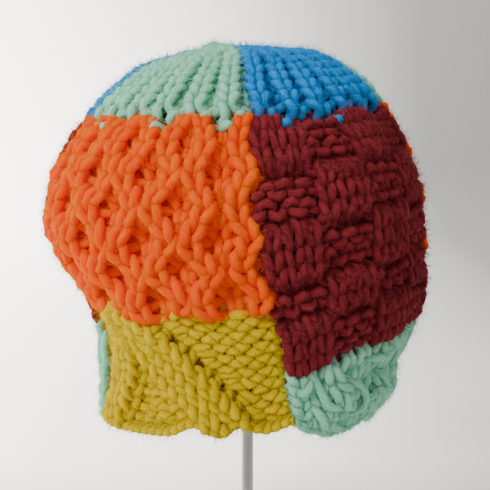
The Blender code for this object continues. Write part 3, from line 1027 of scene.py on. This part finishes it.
def fuzz_tree():
    tree = modifier_tree("fuzz", [("Seed", "INPUT", "Int")])
    add = partial(add_node, tree)
    start, place = add("NodeGroupInput"), add("GeometryNodeInputPosition")
    facing = facing_out(add, place, add("GeometryNodeInputNormal"))
    outer = add("FunctionNodeCompare", {0: facing, 1: FUZZ_FACING}, operation="GREATER_THAN")
    grown = {"Mesh": start, "Selection": outer, "Seed": start.outputs["Seed"]}
    points = add("GeometryNodeDistributePointsOnFaces", {**grown, "Density": FUZZ_DENSITY})
    cone = {"Vertices": 3, "Side Segments": 1, "Radius Top": 0.0, "Depth": FUZZ_LENGTH}
    cone = add("GeometryNodeMeshCone", {**cone, "Radius Bottom": FUZZ_WIDTH / 2})
    height = add("ShaderNodeSeparateXYZ", {0: place}).outputs["Z"]
    tip = add("GeometryNodeStoreNamedAttribute", {"Geometry": cone, "Value": height, "Name": "tip"})
    random_turn = partial(add, "FunctionNodeRandomValue", data_type="FLOAT_VECTOR")
    tilt = random_turn({0: (FUZZ_TILTS[0], 0, 0), 1: (FUZZ_TILTS[1], 0, 0)})
    spin = random_turn({0: (0, 0, 0), 1: (0, 0, tau), "Seed": 3})
    rotation = points.outputs["Rotation"]
    for euler in (spin, tilt):
        turn = add("FunctionNodeEulerToRotation", {0: euler})
        rotation = {0: rotation, 1: turn}
        rotation = add("FunctionNodeRotateRotation", rotation, rotation_space="LOCAL")
    size = add("FunctionNodeRandomValue", {2: FUZZ_SIZES[0], 3: FUZZ_SIZES[1], "Seed": 5})
    fibres = {"Points": points, "Instance": tip, "Rotation": rotation, "Scale": size.outputs[1]}
    fibres = add("GeometryNodeRealizeInstances", {0: add("GeometryNodeInstanceOnPoints", fibres)})
    bend = add("ShaderNodeTexNoise", {"Vector": place, "Scale": FUZZ_BEND_SCALE})
    centred = {0: bend.outputs["Color"], 1: (0.5, 0.5, 0.5)}
    centred = add("ShaderNodeVectorMath", centred, operation="SUBTRACT")
    high = add("GeometryNodeInputNamedAttribute", {"Name": "tip"})
    by = add("ShaderNodeMath", {0: high, 1: FUZZ_BEND}, operation="MULTIPLY")
    push = add("ShaderNodeVectorMath", {0: centred, "Scale": by}, operation="SCALE")
    bent = add("GeometryNodeSetPosition", {"Geometry": fibres, "Offset": push})
    add("NodeGroupOutput", {0: bent})
    return tree


FUZZ = fuzz_tree()
print("nodes that grow fuzz:", len(FUZZ.nodes))


# %% Growing it
def add_fuzz(name, strands, colour, seed):
    """Grows loose fibres from a panel's strands, as a mesh of their own."""
    source = add_object(name + "_source", strands.data)
    grow = source.modifiers.new("fuzz", "NODES")
    grow.node_group = FUZZ
    seed_input = next(item for item in FUZZ.interface.items_tree if item.name == "Seed")
    grow[seed_input.identifier] = seed
    fuzz = made_mesh(name + "_fuzz", source, FUZZES[colour])
    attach(fuzz, "root")


# %% [markdown]
# ## Knitting the panels
#
# Each panel is knitted row by row between its seams. The back and the left column could be
# mirrored, but the wall is another there. So they are knitted in place, with their own
# unevenness.

# %% One panel
def knit(name, place, colour, rows, row_of, relief, shake, plump, seed, more):
    """Knits one panel from rows of stitches, more strands, the backing and the fuzz."""
    paths = [
        row_path(place, row, rows, row_of(row), relief, shake, seed, plump) for row in range(rows)
    ]
    piece = wind(name + "_knit", paths + more, WOOLS[colour])
    add_fuzz(name, piece, colour, seed)
    sheet = backing(place, relief)
    for face in sheet.faces:
        face.material_index = 1
    sheet.from_mesh(piece.data)
    for face in sheet.faces:
        face.smooth = True
    sheet.to_mesh(piece.data)
    sheet.free()
    # The sheet takes its material of painted shade
    piece.data.materials.append(SHADE_SHEETS[colour])
    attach(piece, "root")
    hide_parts(name)


# %% The twelve panels
COLUMNS = (
    ("front", ("left", "front"), "honeycomb"),
    ("right", ("front", "right"), "basket"),
    ("back", ("right", "back"), "honeycomb"),
    ("left", ("back", "left"), "basket"),
)
# Each panel's dye, rows, stitches of a row, relief, unevenness and plumpness of the strand
STYLES = {
    ("honeycomb", "crown"): ("mint", CROWN_ROWS, crown_row, crown_relief, 0.10, 1.0),
    ("honeycomb", "body"): ("orange", HONEYCOMB_ROWS, honeycomb_row, honeycomb_relief, 0.08, 1.0),
    ("honeycomb", "brim"): ("yellow", BAND_ROWS, band_row, band_relief, 0.07, 1.0),
    ("basket", "crown"): ("blue", CROWN_ROWS, crown_row, crown_relief, 0.17, 1.0),
    ("basket", "body"): ("maroon", BASKET_ROWS, basket_row, basket_relief, 0.19, 1.02),
    ("basket", "brim"): ("mint", ROPE_ROWS, rope_row, rope_relief, 0.12, 1.1),
}


def more_strands(pattern, part, place):
    """The strands that a panel has besides its rows."""
    if part == "crown":
        return [eyelet_strand(place, EYELETS[pattern])]
    if part == "body":
        return []
    if pattern == "honeycomb":
        return hem(place, BAND_ROWS, BAND_STITCHES)
    return hem(place, ROPE_ROWS, ROPE_STITCHES) + rope_strands(place)


for number, (side, seams, pattern) in enumerate(COLUMNS):
    rim, split = partial(rim_way, seams=seams), partial(split_way, seams=seams, pattern=pattern)
    places = {
        "crown": panel_place(seams, lambda across: CROWN_WAY, lambda across: CROWN_END),
        "body": panel_place(seams, split, lambda across: CROWN_WAY),
        "brim": panel_place(seams, rim, split, squeezed=True),
    }
    for tier, (part, place) in enumerate(places.items()):
        more = more_strands(pattern, part, place)
        knit(f"{side}_{part}", place, *STYLES[pattern, part], number + 10 * tier, more)

# %% [markdown]
# ## The gathered top
#
# The last stitches are drawn up on a strand, which leaves a small knot. A ball could stand for
# it, but the light shows single strands, so seven of them run out from the middle.

# %% The gather
GATHER_STRANDS = 7
GATHER_SEED = 99
KNOT_SHIFT = -0.0026  # it lies a little to the left of the middle
paths = []
for k in range(GATHER_STRANDS):
    path = []
    for i in range(15):
        t = i / 14
        angle = tau * (k / GATHER_STRANDS + 0.10 * sin(pi * t))
        reach = GATHER_RADIUS * (0.12 + 0.95 * t)
        height = -0.0002 * cos(pi / 2 * t) ** 0.8 - 0.0034 * t
        height += 0.0008 * sin(3 * pi * t + 2 * k)
        across = reach * sin(angle) + KNOT_SHIFT * (1 - t) ** 2
        point = Vector((across, -reach * cos(angle), HAT_HEIGHT + height))
        path.append((LEAN @ point, 0.95))
    paths.append(path)
gather = wind("crown_gather_knot", paths, WOOLS["mint"])
add_fuzz("crown_gather", gather, "mint", GATHER_SEED)
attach(gather, "root")
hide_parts("crown_gather")

# %% [markdown]
# ## The stand
#
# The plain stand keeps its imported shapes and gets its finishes. Colour, gloss and bump could each
# have a pattern. Here they share one noise, as on a real surface they come from the same marks.

# %% The stand's finishes
GLOSS_SPREAD = 0.08


def finish_material(name, dark, light, scale, roughness, metallic=0.0):
    """A finish whose colour, gloss and bump follow one noise of scale marks in a metre."""
    material, shader, add = start_material(name, {"Metallic": metallic})
    where = add("ShaderNodeTexCoord").outputs["Object"]
    stretch = add("ShaderNodeMapping", {"Vector": where, "Scale": scale})
    grain = add("ShaderNodeTexNoise", {"Vector": stretch, "Scale": 1.0, "Detail": 3.0})
    shades = add("ShaderNodeValToRGB", {"Fac": grain})
    for stop, position, colour in zip(shades.color_ramp.elements, (0.3, 0.7), (dark, light)):
        stop.position, stop.color = position, linear(colour)
    low, high = roughness - GLOSS_SPREAD, roughness + GLOSS_SPREAD
    gloss = add("ShaderNodeMapRange", {"Value": grain, "To Min": low, "To Max": high})
    relief = add("ShaderNodeBump", {"Height": grain, "Strength": 0.2, "Distance": 0.0001})
    feed(shader, {"Base Color": shades, "Roughness": gloss, "Normal": relief})
    return material


STAND = {
    # Drawn through a die: fine lines stretch its highlight down the post
    "stand_post": finish_material(
        "satin_drawn_steel", "b2b5b0", "c6c9c4", (3000, 3000, 12), 0.22, metallic=0.6
    ),
    # Sprayed and baked: a fine orange peel breaks up its soft shine
    "stand_base": finish_material("white_enamel", "dddbd6", "e9e7e3", (400, 400, 400), 0.35),
    # Moulded in a grained mould, which keeps it matt
    "stand_rest": finish_material("grey_matte_plastic", "8b8d8e", "9a9c9d", (900, 900, 900), 0.6),
}
for node, material in STAND.items():
    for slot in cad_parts[node].material_slots:
        slot.material = material
print("finished:", *STAND)

# %% [markdown]
# ## The paper behind
#
# The photograph's pale paper is bright on the left and dark on the right. A lamp behind it could
# give that, but it would also light the wool. So the paper glows by itself, and bends in one
# sweep from floor to wall.

# %% The paper's material
#   place across the paper, brightness of its painted light
PAPER_GLOW = ((0.15, 0.94), (0.30, 0.84), (0.5, 0.28), (0.56, 0.13), (0.64, 0.03), (0.85, 0.01))
PAPER_WARMTH = (1, 0.97, 0.9)
PAPER_REACH = 1.2  # to each side, in metres
GLOW_FROM, GLOW_FULL = -0.1, 0.2  # the glow starts behind the beanie
GLOW_LOW, GLOW_HIGH, GLOW_TOP = 1.6, 0.95, 0.5  # on the floor, and from this height up
GLOW_POWER = 5.0


def paper_material():
    """Uncoated paper: quite matt, with no shine, and a painted glow that is bright on the left and
    dark on the right.
    """
    sockets = {"Roughness": 0.9, "Specular IOR Level": 0.1, "Base Color": linear("cac8c5")}
    sockets["Emission Strength"] = GLOW_POWER
    material, shader, add = start_material("pale_paper", sockets)
    where = add("ShaderNodeTexCoord").outputs["Object"]
    x, y, z = add("ShaderNodeSeparateXYZ", {0: where}).outputs
    across = {"Value": x, "From Min": -PAPER_REACH, "From Max": PAPER_REACH}
    painted_glow = add("ShaderNodeValToRGB", {"Fac": add("ShaderNodeMapRange", across)})
    painted_glow.color_ramp.elements[1].color = (0, 0, 0, 1)
    for position, brightness in PAPER_GLOW:
        tint = [share * brightness for share in PAPER_WARMTH]
        painted_glow.color_ramp.elements.new(position).color = (*tint, 1)
    behind = {"Value": y, "From Min": GLOW_FROM, "From Max": GLOW_FULL}
    above = {"Value": z, "From Max": GLOW_TOP, "To Min": GLOW_LOW, "To Max": GLOW_HIGH}
    behind, above = (add("ShaderNodeMapRange", inputs) for inputs in (behind, above))
    glowing = add("ShaderNodeMath", {0: behind, 1: above}, operation="MULTIPLY")
    lit = add("ShaderNodeVectorMath", {0: painted_glow, "Scale": glowing}, operation="SCALE")
    feed(shader, {"Emission Color": lit})
    return material


# %% The sweep
PAPER_HALF = 4
PAPER_PROFILE = ((-4, 0), (1.6, 0), (1.95, 0.1), (2.1, 0.4), (2.1, 3.5))  # back and up
sweep = bmesh.new()
profile = [sweep.verts.new((-PAPER_HALF, y, z)) for y, z in PAPER_PROFILE]
edges = [sweep.edges.new(pair) for pair in zip(profile, profile[1:])]
made = bmesh.ops.extrude_edge_only(sweep, edges=edges)
for item in made["geom"]:
    if isinstance(item, bmesh.types.BMVert):
        item.co.x = PAPER_HALF
bmesh.ops.recalc_face_normals(sweep, faces=sweep.faces[:])
sweep_data = bpy.data.meshes.new("paper_sweep")
sweep.to_mesh(sweep_data)
sweep.free()
sweep_data.shade_smooth()
sweep_data.materials.append(paper_material())
paper = add_object("paper_sweep", sweep_data)
print("the paper is", 2 * PAPER_HALF, "m wide")

# %% [markdown]
# ## Light
#
# A broad window on the left models the loops. A sun would give hard shadows in them, so the key
# is a disk close by, with a weak fill on the right and a pale world for the room.

# %% The lamps
WORLD_POWER = 0.45
LAMP_AIM = (0, 0, 0.15)
world = bpy.data.worlds.new("studio")
world.use_nodes = True
room = {"Color": linear("f2f1ef"), "Strength": WORLD_POWER}
feed(world.node_tree.nodes["Background"], room)
bpy.context.scene.world = world


def aim_at(thing, place, aim):
    """Puts a lamp or a camera in its place and turns it to a point."""
    thing.location = place
    thing.rotation_mode = "QUATERNION"
    thing.rotation_quaternion = (Vector(aim) - Vector(place)).to_track_quat("-Z", "Y")


def add_lamp(name, place, size, power):
    data = bpy.data.lights.new(name, "AREA")
    data.shape, data.size, data.energy = "DISK", size, power
    aim_at(add_object(name, data), place, LAMP_AIM)
    print(name, "lamp of", power, "watts")


add_lamp("key", (-0.75, -0.95, 0.85), 0.40, 17.5)
add_lamp("fill", (1.1, -0.7, 0.5), 0.9, 1.2)

# %% [markdown]
# ## The camera
#
# The photograph looks slightly down on the beanie. A longer lens from further off could show the
# same angle, but the panels narrow at the outline as in a picture taken from about 60 cm.

# %% The camera's place
AIM = Vector((-0.0011, 0, 0.1544))
PITCH = radians(6)
DISTANCE = 0.620
LENS = 99.3
camera_data = bpy.data.cameras.new("camera")
camera_data.lens = LENS
camera = add_object("camera", camera_data)
aim_at(camera, AIM + DISTANCE * Vector((0, -cos(PITCH), sin(PITCH))), AIM)
bpy.context.scene.camera = camera
print("the camera stands at", [round(x, 3) for x in camera.location])
